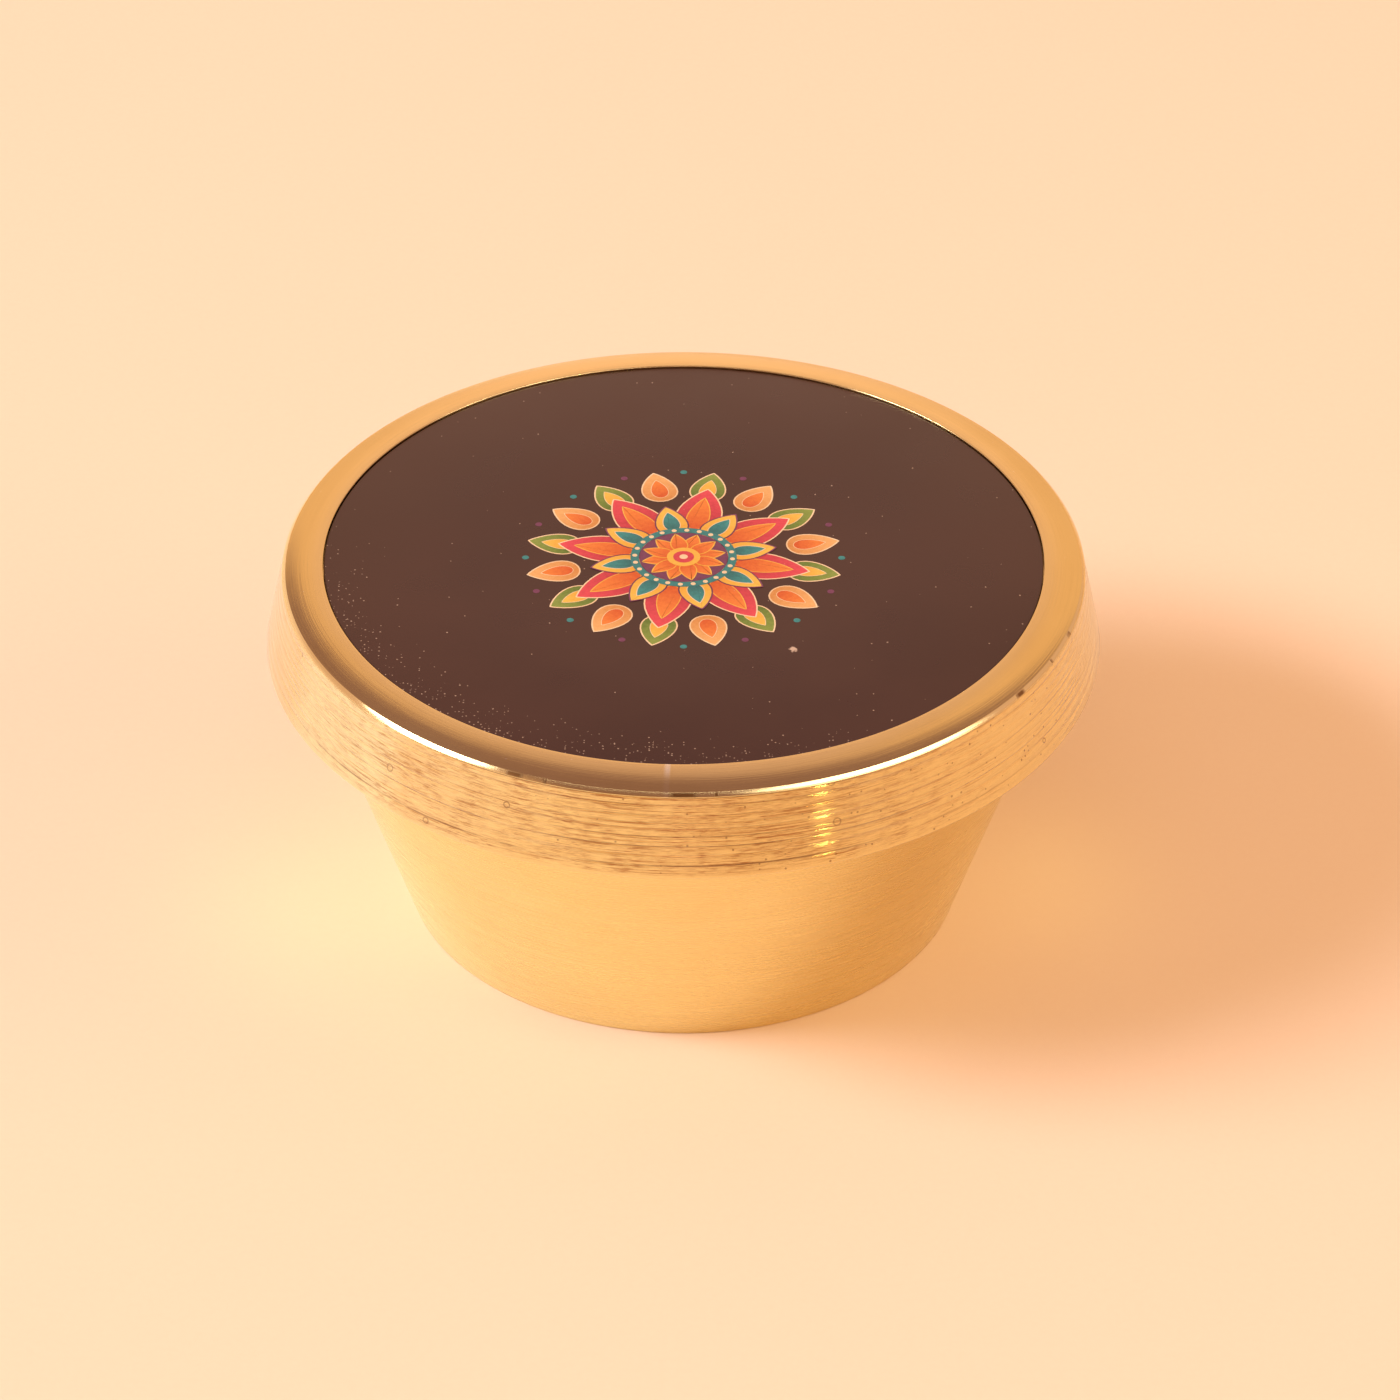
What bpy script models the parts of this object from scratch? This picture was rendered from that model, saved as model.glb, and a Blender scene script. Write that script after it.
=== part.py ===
"""Brass spice box: a turned conical bowl, a slip-on lid with a printed disc, seven cups and a spoon.

Metres, +Z up. The origin is the centre of the base, on the surface that the box stands on.
"""
from math import atan2, cos, pi, radians, sin, sqrt, tan

import bmesh
import bpy
from mathutils import Vector

# Bowl
BASE_RADIUS = 0.0404
WALL_TAPER = radians(18.35)
SHOULDER_HEIGHT = 0.0413
NECK_STEP = 0.0008
NECK_HEIGHT = 0.0097
BOWL_WALL = 0.0030
BOWL_FLOOR = 0.0040
FLOOR_FILLET = 0.0030
FOOT_RING_WIDTH = 0.0060
FOOT_RECESS = 0.0008
BOWL_EDGE = 0.0003
RIM_EDGE = 0.0007

# Lid: a cap that slips over the bowl's neck and sits on its shoulder
SLIP_CLEARANCE = 0.0003
SEAT_GAP = 0.0003
LID_PLATE = 0.0022
LID_MOUTH_WALL = 0.0064
LID_TOP_WALL = 0.0037
LID_BEVEL = 0.00042
MOUTH_EDGE = 0.0002
LID_LEAD_IN = 0.0008
RING_WIDTH = 0.0058
RING_CREST = 0.0022
RING_DROP = 0.0010
RING_ROUND = 0.0120

# Printed disc, glued in a recess in the lid
DISC_THICKNESS = 0.0008
DISC_EDGE = 0.0002
DISC_SIDE_GAP = 0.0003
GLUE_LINE = 0.0003
DISC_INSET = 0.0003

# Cups: one in the middle, the rest in a ring round it
RING_CUPS = 6
CUP_BASE_RADIUS = 0.0078
CUP_WALL = 0.0010
CUP_FLOOR = 0.0012
CUP_FILLET = 0.0020
CUP_ROLL = 0.0008
CUP_ROLL_ROUNDNESS = 0.9
CUP_SPACING = 0.0006
HEADSPACE = 0.0102

# Spoon: its bowl hangs in the mouth of one ring cup, its handle lies across the rims
SPOON_DEPTH = 0.0070
SPOON_WALL = 0.0011
SPOON_CLEARANCE = 0.0022
HANDLE_THICKNESS = 0.0018
HANDLE_NECK_WIDTH = 0.0044
HANDLE_END_WIDTH = 0.0076
HANDLE_PAST_CENTRE = 0.0300

# Facets
LARGE_STEPS = 64
CUP_STEPS = 24
SPOON_STEPS = 28
FILLET_STEPS = 3
CUP_FILLET_STEPS = 2
SPOON_ARC_STEPS = 8
HANDLE_END_STEPS = 10
WELD = 0.00001

NAME = "spice_box"


def clear_scene():
    for old in list(bpy.data.objects):
        bpy.data.objects.remove(old, do_unlink=True)


def new_collection(name):
    collection = bpy.data.collections.new(name)
    bpy.context.scene.collection.children.link(collection)
    return collection


def make_material(name, colour, roughness, metallic):
    material = bpy.data.materials.new(name)
    material.use_nodes = True
    shader = material.node_tree.nodes["Principled BSDF"]
    shader.inputs["Base Color"].default_value = (*colour, 1.0)
    shader.inputs["Roughness"].default_value = roughness
    shader.inputs["Metallic"].default_value = metallic
    material.diffuse_color = (*colour, 1.0)
    return material


def rounded(corners, arc_steps=FILLET_STEPS):
    """Turn corners (radius, height, fillet) into points, with a tangent arc where there is a fillet."""
    points = []
    for index, (radius, height, fillet) in enumerate(corners):
        corner = Vector((radius, height))
        if fillet == 0:
            points.append(corner)
            continue
        back = (Vector(corners[index - 1][:2]) - corner).normalized()
        ahead = (Vector(corners[index + 1][:2]) - corner).normalized()
        half_angle = back.angle(ahead) / 2
        centre = corner + (back + ahead).normalized() * fillet / sin(half_angle)
        first = corner + back * fillet / tan(half_angle) - centre
        last = corner + ahead * fillet / tan(half_angle) - centre
        turn = first.angle_signed(last)
        for step in range(arc_steps + 1):
            angle = atan2(first.y, first.x) - turn * step / arc_steps
            points.append(centre + fillet * Vector((cos(angle), sin(angle))))
    return points


def arc(centre_height, radius, start, end, steps):
    """Points on a circle whose centre lies on the axis; angles are measured from +X."""
    angles = [start + (end - start) * step / steps for step in range(steps + 1)]
    return [Vector((radius * cos(angle), centre_height + radius * sin(angle))) for angle in angles]


def turned(name, profile, steps, material, collection):
    """Spin a profile that starts and ends on the axis into one closed solid."""
    mesh = bpy.data.meshes.new(name)
    outline = bmesh.new()
    verts = [outline.verts.new((max(point.x, 0.0), 0.0, point.y)) for point in profile]
    for upper, lower in zip(verts, verts[1:]):
        outline.edges.new((upper, lower))
    outline.to_mesh(mesh)
    outline.free()
    mesh.materials.append(material)
    piece = bpy.data.objects.new(name, mesh)
    collection.objects.link(piece)
    screw = piece.modifiers.new("turn", "SCREW")
    screw.axis = "Z"
    screw.angle = 2 * pi
    screw.steps = steps
    screw.render_steps = steps
    screw.use_merge_vertices = True
    screw.merge_threshold = WELD
    screw.use_smooth_shade = True
    return piece


def place(piece, parent, location):
    piece.parent = parent
    piece.location = location


# Heights and radii that follow from the driving dimensions
taper = tan(WALL_TAPER)
shoulder_radius = BASE_RADIUS + SHOULDER_HEIGHT * taper
neck_radius = shoulder_radius - NECK_STEP
rim_height = SHOULDER_HEIGHT + NECK_HEIGHT
inner_base_radius = BASE_RADIUS - BOWL_WALL / cos(WALL_TAPER)
inner_neck_radius = inner_base_radius + SHOULDER_HEIGHT * taper
fillet_height = BOWL_FLOOR + FLOOR_FILLET
flat_floor_radius = inner_base_radius + fillet_height * taper - FLOOR_FILLET / cos(WALL_TAPER)

bore_radius = neck_radius + SLIP_CLEARANCE
lid_mouth_height = SHOULDER_HEIGHT + SEAT_GAP
lid_ceiling_height = rim_height + SEAT_GAP
recess_depth = GLUE_LINE + DISC_THICKNESS + DISC_INSET
recess_height = lid_ceiling_height + LID_PLATE
lid_top_height = recess_height + recess_depth
lid_mouth_radius = bore_radius + LID_MOUTH_WALL
lid_edge_radius = bore_radius + LID_TOP_WALL
recess_radius = lid_edge_radius - RING_WIDTH
disc_radius = recess_radius - DISC_SIDE_GAP

cup_seat = BOWL_FLOOR + SEAT_GAP
cup_top = rim_height - HEADSPACE
cup_height = cup_top - cup_seat
inner_radius_at_cup_top = min(inner_neck_radius, inner_base_radius + cup_top * taper)
floor_pitch = flat_floor_radius - CUP_SPACING - CUP_BASE_RADIUS
mouth_pitch = (2 * (inner_radius_at_cup_top - CUP_SPACING) + CUP_SPACING) / 3
cup_pitch = min(floor_pitch, mouth_pitch)
cup_rim_radius = cup_pitch * sin(pi / RING_CUPS) - CUP_SPACING / 2
cup_mouth_radius = cup_rim_radius - CUP_ROLL - CUP_WALL

spoon_rim_radius = cup_mouth_radius - SPOON_CLEARANCE
spoon_seat = cup_top + SEAT_GAP
spoon_rim_height = spoon_seat + HANDLE_THICKNESS


def make_bowl(material, collection):
    foot_radius = BASE_RADIUS - FOOT_RING_WIDTH
    profile = rounded([
        (0.0, BOWL_FLOOR, 0.0),
        (inner_base_radius + BOWL_FLOOR * taper, BOWL_FLOOR, FLOOR_FILLET),
        (inner_neck_radius, SHOULDER_HEIGHT, 0.0),
        (inner_neck_radius, rim_height, RIM_EDGE),
        (neck_radius, rim_height, RIM_EDGE),
        (neck_radius, SHOULDER_HEIGHT, 0.0),
        (shoulder_radius, SHOULDER_HEIGHT, BOWL_EDGE),
        (BASE_RADIUS, 0.0, BOWL_EDGE),
        (foot_radius, 0.0, BOWL_EDGE),
        (foot_radius, FOOT_RECESS, 0.0),
        (0.0, FOOT_RECESS, 0.0),
    ])
    return turned("bowl", profile, LARGE_STEPS, material, collection)


def make_lid(material, collection):
    """The lid's profile is measured from the plane of its mouth, where the lid's origin lies."""
    ceiling = lid_ceiling_height - lid_mouth_height
    recess = recess_height - lid_mouth_height
    top = lid_top_height - lid_mouth_height
    crest = Vector((recess_radius + RING_CREST, top))
    edge = Vector((lid_edge_radius, top - RING_DROP))
    mouth = Vector((lid_mouth_radius, 0.0))
    bevel_top = edge + (crest - edge).normalized() * LID_BEVEL
    bevel_foot = edge + (mouth - edge).normalized() * LID_BEVEL
    profile = rounded([
        (0.0, recess, 0.0),
        (recess_radius, recess, 0.0),
        (recess_radius, top, DISC_EDGE),
        (*crest, RING_ROUND),
        (*bevel_top, 0.0),
        (*bevel_foot, 0.0),
        (*mouth, MOUTH_EDGE),
        (bore_radius + LID_LEAD_IN, 0.0, 0.0),
        (bore_radius, LID_LEAD_IN, 0.0),
        (bore_radius, ceiling, 0.0),
        (0.0, ceiling, 0.0),
    ])
    return turned("lid", profile, LARGE_STEPS, material, collection)


def make_lid_disc(material, collection):
    profile = rounded([
        (0.0, DISC_THICKNESS, 0.0),
        (disc_radius, DISC_THICKNESS, DISC_EDGE),
        (disc_radius, 0.0, 0.0),
        (0.0, 0.0, 0.0),
    ])
    return turned("lid_disc", profile, LARGE_STEPS, material, collection)


def make_cups(material, collection):
    """Seven cups share one turned mesh, with its rim rolled outwards."""
    roll = (CUP_WALL + CUP_ROLL) / 2
    outer_rim_radius = cup_mouth_radius + CUP_WALL
    outer_slope = (outer_rim_radius - CUP_BASE_RADIUS) / cup_height
    inner_floor_radius = CUP_BASE_RADIUS - CUP_WALL + CUP_FLOOR * outer_slope
    under_roll = cup_height - 2 * roll
    profile = rounded([
        (0.0, CUP_FLOOR, 0.0),
        (inner_floor_radius, CUP_FLOOR, CUP_FILLET),
        (cup_mouth_radius, cup_height, roll * CUP_ROLL_ROUNDNESS),
        (cup_rim_radius, cup_height, roll * CUP_ROLL_ROUNDNESS),
        (cup_rim_radius, under_roll, 0.0),
        (outer_rim_radius - 2 * roll * outer_slope, under_roll, 0.0),
        (CUP_BASE_RADIUS, 0.0, CUP_FILLET),
        (0.0, 0.0, 0.0),
    ], CUP_FILLET_STEPS)
    centre = turned("cup_centre", profile, CUP_STEPS, material, collection)
    cups = [centre]
    for number in range(1, RING_CUPS + 1):
        cup = centre.copy()
        cup.name = f"cup_{number}"
        collection.objects.link(cup)
        cups.append(cup)
    return cups


def make_handle(name, reach, collection):
    """A flat bar that widens to a round end, as a mesh that can be joined to the spoon's bowl."""
    end_half = HANDLE_END_WIDTH / 2
    neck_half = HANDLE_NECK_WIDTH / 2
    outline = [Vector((0.0, -neck_half))]
    round_end = arc(0.0, end_half, -pi / 2, pi / 2, HANDLE_END_STEPS)
    outline += [point + Vector((reach - end_half, 0.0)) for point in round_end]
    outline.append(Vector((0.0, neck_half)))
    data = bpy.data.curves.new(name, "CURVE")
    data.dimensions = "2D"
    data.fill_mode = "BOTH"
    data.extrude = HANDLE_THICKNESS / 2
    spline = data.splines.new("POLY")
    spline.points.add(len(outline) - 1)
    for point, place_xy in zip(spline.points, outline):
        point.co = (place_xy.x, place_xy.y, 0.0, 1.0)
    spline.use_cyclic_u = True
    curve = bpy.data.objects.new(name, data)
    collection.objects.link(curve)
    curve.location.z = -HANDLE_THICKNESS / 2
    bpy.context.view_layer.update()
    mesh = bpy.data.meshes.new_from_object(curve.evaluated_get(bpy.context.evaluated_depsgraph_get()))
    welded = bmesh.new()
    welded.from_mesh(mesh)
    bmesh.ops.remove_doubles(welded, verts=welded.verts, dist=WELD)
    welded.to_mesh(mesh)
    welded.free()
    handle = bpy.data.objects.new(name + "_bar", mesh)
    handle.matrix_world = curve.matrix_world
    collection.objects.link(handle)
    bpy.data.objects.remove(curve, do_unlink=True)
    return handle


def make_spoon(material, collection, cutters):
    """A deep round bowl with a flat handle along +X; the origin is the centre of the bowl's rim."""
    inner_rim_radius = spoon_rim_radius - SPOON_WALL
    hollow_radius = (inner_rim_radius ** 2 + SPOON_DEPTH ** 2) / (2 * SPOON_DEPTH)
    hollow_centre = hollow_radius - SPOON_DEPTH
    outer_radius = hollow_radius + SPOON_WALL
    rim_angle = -atan2(hollow_centre, sqrt(outer_radius ** 2 - hollow_centre ** 2))
    profile = [Vector((0.0, 0.0))] + arc(hollow_centre, outer_radius, rim_angle, -pi / 2, SPOON_ARC_STEPS)
    spoon = turned("spoon", profile, SPOON_STEPS, material, collection)

    handle = make_handle("spoon_handle", cup_pitch + HANDLE_PAST_CENTRE, cutters)
    mesh = bpy.data.meshes.new("spoon_hollow")
    ball = bmesh.new()
    bmesh.ops.create_uvsphere(ball, u_segments=SPOON_STEPS, v_segments=SPOON_STEPS, radius=hollow_radius)
    ball.to_mesh(mesh)
    ball.free()
    hollow = bpy.data.objects.new("spoon_hollow", mesh)
    hollow.location.z = hollow_centre
    cutters.objects.link(hollow)

    for cutter, operation in ((handle, "UNION"), (hollow, "DIFFERENCE")):
        cutter.hide_render = True
        cutter.display_type = "WIRE"
        cutter.parent = spoon
        boolean = spoon.modifiers.new(cutter.name, "BOOLEAN")
        boolean.operation = operation
        boolean.object = cutter
        boolean.solver = "EXACT"
    return spoon


def build():
    clear_scene()
    parts = new_collection(NAME)
    cutters = new_collection(NAME + "_cutters")
    bowl_brass = make_material("bowl_brass", (0.80, 0.52, 0.20), 0.32, 1.0)
    lid_brass = make_material("lid_brass", (0.78, 0.50, 0.19), 0.28, 1.0)
    disc_print = make_material("disc_print", (0.030, 0.020, 0.017), 0.45, 0.0)
    cup_brass = make_material("cup_brass", (0.80, 0.53, 0.22), 0.22, 1.0)
    spoon_brass = make_material("spoon_brass", (0.80, 0.53, 0.22), 0.20, 1.0)

    contents = bpy.data.objects.new("contents", None)
    parts.objects.link(contents)
    contents.location.z = cup_seat

    make_bowl(bowl_brass, parts)
    lid = make_lid(lid_brass, parts)
    lid.location.z = lid_mouth_height
    disc = make_lid_disc(disc_print, parts)
    place(disc, lid, (0.0, 0.0, recess_height + GLUE_LINE - lid_mouth_height))

    centre, *ring = make_cups(cup_brass, parts)
    place(centre, contents, (0.0, 0.0, 0.0))
    for index, cup in enumerate(ring):
        angle = 2 * pi * index / RING_CUPS
        place(cup, contents, (cup_pitch * cos(angle), cup_pitch * sin(angle), 0.0))
    spoon = make_spoon(spoon_brass, parts, cutters)
    place(spoon, contents, (-cup_pitch, 0.0, spoon_rim_height - cup_seat))


build()
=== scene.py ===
# %% [markdown]
# # A turned brass spice box
# A masala dabba keeps a cook's everyday spices in one round box. This one is solid brass, turned on a
# lathe: a conical bowl, a cap that slips over its neck, a dark printed disc let into the cap, and inside
# seven small cups and a spoon. The measured model already fixes every size and every joint. This lesson
# gives each piece its fine surface, so it starts by loading that model and noting where its pieces lie.

# %% Load the measured model
import random
from math import atan2, cos, pi, radians, sin, sqrt, tan

import bmesh
import bpy
from mathutils import Matrix, Quaternion, Vector


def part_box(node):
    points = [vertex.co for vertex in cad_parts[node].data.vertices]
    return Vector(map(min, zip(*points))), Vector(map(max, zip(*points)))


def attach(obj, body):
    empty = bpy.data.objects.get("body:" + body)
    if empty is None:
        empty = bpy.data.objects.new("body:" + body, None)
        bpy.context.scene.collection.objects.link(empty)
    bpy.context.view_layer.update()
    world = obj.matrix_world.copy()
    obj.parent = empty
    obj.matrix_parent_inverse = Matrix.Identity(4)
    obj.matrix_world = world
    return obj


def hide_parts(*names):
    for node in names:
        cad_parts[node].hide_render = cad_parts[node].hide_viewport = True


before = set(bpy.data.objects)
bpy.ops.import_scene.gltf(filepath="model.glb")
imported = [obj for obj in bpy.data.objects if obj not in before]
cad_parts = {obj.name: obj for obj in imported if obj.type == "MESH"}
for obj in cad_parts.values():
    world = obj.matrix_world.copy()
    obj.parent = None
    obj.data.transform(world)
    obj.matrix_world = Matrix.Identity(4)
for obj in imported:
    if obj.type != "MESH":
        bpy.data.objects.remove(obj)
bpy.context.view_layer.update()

_, bowl_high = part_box("bowl")
lid_low, lid_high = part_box("lid")
disc_low, disc_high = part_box("lid_disc")
print("nodes", sorted(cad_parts))
print("box across", round(lid_high.x - lid_low.x, 4), "high", round(lid_high.z, 4))

# %% [markdown]
# ## Camera
# The box is seen from a little above, through a long lens that keeps its ellipses calm. A camera can be
# turned by hand, but aiming it at a point and rolling it afterwards keeps the numbers readable.

# %% Camera
CAMERA_PLACE = Vector((0.0, -0.77497, 0.56659))
CAMERA_AIM = Vector((0.0024, 0.0, 0.02986))
CAMERA_ROLL = radians(0.17)
CAMERA_LENS = 167.07
SENSOR_WIDTH = 36.0

camera_data = bpy.data.cameras.new("camera")
camera_data.lens = CAMERA_LENS
camera_data.sensor_width = SENSOR_WIDTH
camera = bpy.data.objects.new("camera", camera_data)
bpy.context.scene.collection.objects.link(camera)
camera.location = CAMERA_PLACE
aimed = (CAMERA_AIM - CAMERA_PLACE).to_track_quat("-Z", "Y")
camera.rotation_mode = "QUATERNION"
camera.rotation_quaternion = aimed @ Quaternion((0.0, 0.0, 1.0), CAMERA_ROLL)
bpy.context.scene.camera = camera
bpy.context.scene.view_settings.view_transform = "Standard"
print("camera stands", round((CAMERA_AIM - CAMERA_PLACE).length, 3), "m away")

# %% [markdown]
# ## Nodes by name
# Materials, the paper floor and the surroundings are all small graphs of nodes. Adding a node, setting
# its options and linking its sockets is the same every time, so a few short helpers do it. A value that
# is a socket gets linked, and anything else becomes the socket's own setting.


# %% Node helpers
def feed(tree, socket, value):
    """Link a socket into another one, or set it to a plain value."""
    if isinstance(value, bpy.types.NodeSocket):
        tree.links.new(value, socket)
    else:
        socket.default_value = value


def add_node(tree, kind, inputs=None, **settings):
    node = tree.nodes.new(kind)
    for name, value in settings.items():
        setattr(node, name, value)
    for name, value in (inputs or {}).items():
        feed(tree, node.inputs[name], value)
    return node


def object_place(tree):
    return add_node(tree, "ShaderNodeTexCoord").outputs["Object"]


def split(tree, vector):
    return add_node(tree, "ShaderNodeSeparateXYZ", {"Vector": vector}).outputs


def vector_math(tree, operation, first, second):
    """A Vector Math node; a dot product or a distance comes back as a value."""
    node = add_node(tree, "ShaderNodeVectorMath", {0: first, 1: second}, operation=operation)
    is_value = operation in ("DOT_PRODUCT", "DISTANCE")
    return node.outputs["Value" if is_value else "Vector"]


print("node helpers ready")


# %% Values and colours
def calculate(tree, operation, first, second=0.0, clamp=True):
    """A Math node of two values, held between 0 and 1 unless clamp is off."""
    node = add_node(tree, "ShaderNodeMath", {0: first, 1: second}, operation=operation, use_clamp=clamp)
    return node.outputs[0]


def product(tree, first, *others):
    total = first
    for value in others:
        total = calculate(tree, "MULTIPLY", total, value)
    return total


def weigh(tree, *weighted):
    """Add up pairs of a value and its weight, held between 0 and 1."""
    total = 0.0
    for value, weight in weighted:
        total = calculate(tree, "ADD", total, product(tree, value, weight))
    return total


def spread(tree, value, low, high, to_low=0.0, to_high=1.0):
    """Stretch the part of a value between low and high over a new range."""
    limits = {"Value": value, "From Min": low, "From Max": high, "To Min": to_low, "To Max": to_high}
    return add_node(tree, "ShaderNodeMapRange", limits).outputs["Result"]


def falling(tree, value, low, high):
    """A mask that is full up to low and gone from high on."""
    return spread(tree, value, low, high, 1.0, 0.0)


def mix_colours(tree, amount, first, second):
    """A Mix node; of its many sockets, 6, 7 and output 2 are those for colours."""
    node = add_node(tree, "ShaderNodeMix", {0: amount, 6: first, 7: second}, data_type="RGBA")
    return node.outputs[2]


def noise(tree, place, scale, detail=2.0, roughness=0.5):
    inputs = {"Vector": place, "Scale": scale, "Detail": detail, "Roughness": roughness}
    return add_node(tree, "ShaderNodeTexNoise", inputs).outputs["Fac"]


def colour(red, green, blue):
    return (red, green, blue, 1.0)


FLATTEN = Vector((1.0, 1.0, 0.0))
print("a place times", FLATTEN[:], "loses its height")

# %% [markdown]
# ## Floor and surroundings
# The box stands on a sheet of peach paper. Polished brass has hardly a colour of its own to show: it
# shows what is round it, so the surroundings matter as much as the metal. Behind the box the paper rises
# to a bright backdrop with a rounded top, a pale window stands low on the left, and everything else
# overhead is a dim ceiling. The ring on the lid shows backdrop and ceiling: bright where it is flat, dark
# where it turns down to its edge. Light Path tells the rays that leave a glossy surface from the rest, so
# the floor gets the even light of a warm room instead. The paper that the metal mirrors carries painted
# light: it is painted paler towards the lamp on the left, painted in shade on the right, and it has a
# painted pool of light in a patch to the left of the box.

# %% Paper floor
PAPER_HALF_WIDTH = 3.0
PAPER_COLOUR = colour(0.96, 0.82, 0.64)
PAPER_FIBRE = colour(0.94, 0.78, 0.60)
FIBRE_SCALE = 900.0
FIBRE_SPREAD = (0.4, 0.8)
CLOUD_SCALE = 4.0
CLOUD_SPREAD = (0.3, 0.8)
PAPER_ROUGHNESS = 0.9
PAPER_SPECULAR = 0.1
# Colours of the paper as the metal mirrors it, all painted light: paler towards the lamp on the left, painted
# shade on the right, and a white painted pool of light to the left of the box.
MIRRORED_PAINTED_LIGHT = colour(1.0, 0.96, 0.80)
MIRRORED_PAINTED_SHADE = colour(0.88, 0.755, 0.55)
MIRRORED_TURN = (-0.08, 0.05)
MIRRORED_PAINTED_POOL = colour(1.0, 1.0, 1.0)
PAINTED_POOL_MIDDLE = Vector((-0.23, -0.06, 0.0))
PAINTED_POOL_REACH = (0.09, 0.17)


def new_material(name):
    material = bpy.data.materials.new(name)
    material.use_nodes = True
    tree = material.node_tree
    return material, tree, tree.nodes["Principled BSDF"]


def paper_material():
    material, tree, shader = new_material("peach_paper")
    place = object_place(tree)
    fibre = spread(tree, noise(tree, place, FIBRE_SCALE, detail=4.0, roughness=0.7), *FIBRE_SPREAD)
    cloudy = spread(tree, noise(tree, place, CLOUD_SCALE), *CLOUD_SPREAD)
    seen = mix_colours(tree, weigh(tree, (fibre, 0.4), (cloudy, 0.4)), PAPER_COLOUR, PAPER_FIBRE)
    # Painted light and shade across the paper that the metal mirrors, then the painted pool of light.
    shaded = spread(tree, split(tree, place)["X"], *MIRRORED_TURN)
    mirrored = mix_colours(tree, shaded, MIRRORED_PAINTED_LIGHT, MIRRORED_PAINTED_SHADE)
    off_lit = spread(tree, vector_math(tree, "DISTANCE", place, PAINTED_POOL_MIDDLE), *PAINTED_POOL_REACH)
    mirrored = mix_colours(tree, off_lit, MIRRORED_PAINTED_POOL, mirrored)
    is_glossy = add_node(tree, "ShaderNodeLightPath").outputs["Is Glossy Ray"]
    feed(tree, shader.inputs["Base Color"], mix_colours(tree, is_glossy, seen, mirrored))
    shader.inputs["Roughness"].default_value = PAPER_ROUGHNESS
    shader.inputs["Specular IOR Level"].default_value = PAPER_SPECULAR
    return material


paper_shape = bmesh.new()
bmesh.ops.create_grid(paper_shape, x_segments=1, y_segments=1, size=PAPER_HALF_WIDTH)
paper_mesh = bpy.data.meshes.new("paper_floor")
paper_shape.to_mesh(paper_mesh)
paper_shape.free()
paper_mesh.materials.append(paper_material())
paper = bpy.data.objects.new("paper_floor", paper_mesh)
bpy.context.scene.collection.objects.link(paper)
print("paper floor", PAPER_HALF_WIDTH * 2, "m wide")

# %% Surroundings
ROOM_LIGHT = colour(0.75, 0.435, 0.26)
BACKDROP_LOW = colour(1.20, 0.75, 0.52)
BACKDROP_HIGH = colour(0.715, 0.44, 0.355)
BACKDROP_RISE = (0.51, 0.58)
BACKDROP_MIDDLE = Vector((0.125, 1.065, 0.0))
BACKDROP_EDGE = (0.462, 0.555)
BACKDROP_SIDE = colour(0.96, 0.57, 0.32)
SIDE_START = (0.04, 0.20)
FAR_SIDE = colour(0.82, 0.51, 0.40)
FAR_SIDE_START = (0.45, 0.75)
WINDOW_PALE = colour(1.12, 0.80, 0.68)
WINDOW_START = (-0.38, -0.54)
WINDOW_TOP = (0.15, 0.32)
CEILING_DIM = colour(0.305, 0.162, 0.145)
CEILING_RISE = (0.25, 0.50)
SURROUND_STRENGTH = 0.98

world = bpy.data.worlds.new("warm_room")
bpy.context.scene.world = world
world.use_nodes = True
room = world.node_tree
direction = add_node(room, "ShaderNodeTexCoord").outputs["Generated"]
heading = split(room, direction)
rise = heading["Z"]
aside = calculate(room, "ABSOLUTE", heading["X"])
far_aside = spread(room, aside, *FAR_SIDE_START)
from_above = vector_math(room, "MULTIPLY", direction, FLATTEN)
beyond = spread(room, vector_math(room, "DISTANCE", from_above, BACKDROP_MIDDLE), *BACKDROP_EDGE)
overhead = product(room, spread(room, rise, *CEILING_RISE), calculate(room, "SUBTRACT", 1.0, far_aside))
front = mix_colours(room, spread(room, rise, *BACKDROP_RISE), BACKDROP_LOW, BACKDROP_HIGH)
sides = mix_colours(room, far_aside, BACKDROP_SIDE, FAR_SIDE)
backdrop = mix_colours(room, spread(room, aside, *SIDE_START), front, sides)
window = product(room, spread(room, heading["X"], *WINDOW_START), falling(room, rise, *WINDOW_TOP))
backdrop = mix_colours(room, window, backdrop, WINDOW_PALE)
mirrored_room = mix_colours(room, product(room, beyond, overhead), backdrop, CEILING_DIM)
is_glossy = add_node(room, "ShaderNodeLightPath").outputs["Is Glossy Ray"]
background = room.nodes["Background"]
feed(room, background.inputs["Color"], mix_colours(room, is_glossy, ROOM_LIGHT, mirrored_room))
background.inputs["Strength"].default_value = SURROUND_STRENGTH
print("backdrop ends", BACKDROP_EDGE, "from its middle, seen from above")

# %% [markdown]
# ## Lamps
# A large soft lamp on the left throws the broad shadow to the right. A weaker one on the right draws the
# long glint on the lid's bevel. It lights the metal alone, so that the shadow stays warm. A narrow strip
# makes the row of bright dots down the turned band, and a thin brow overhead lines the bevel's front.
# Warm light that the paper throws back comes low from the right. Polished brass throws light down as
# well, so a tiny lamp hangs over the floor on either side of the bowl. No metal mirrors these three.

# %% Lamp helpers
LAMP_TARGET = Vector((0.0, 0.0, 0.03))
LAMP_MIDDLE = Vector((0.5, 0.5, 0.0))
LAMP_FADE = (0.25, 0.50)


def soften(data):
    """Let an oval lamp fade towards its edge, as cloth over a lamp does."""
    data.use_nodes = True
    tree = data.node_tree
    place = add_node(tree, "ShaderNodeNewGeometry").outputs["Parametric"]
    off_middle = vector_math(tree, "DISTANCE", place, LAMP_MIDDLE)
    feed(tree, tree.nodes["Emission"].inputs["Strength"], falling(tree, off_middle, *LAMP_FADE))


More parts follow.
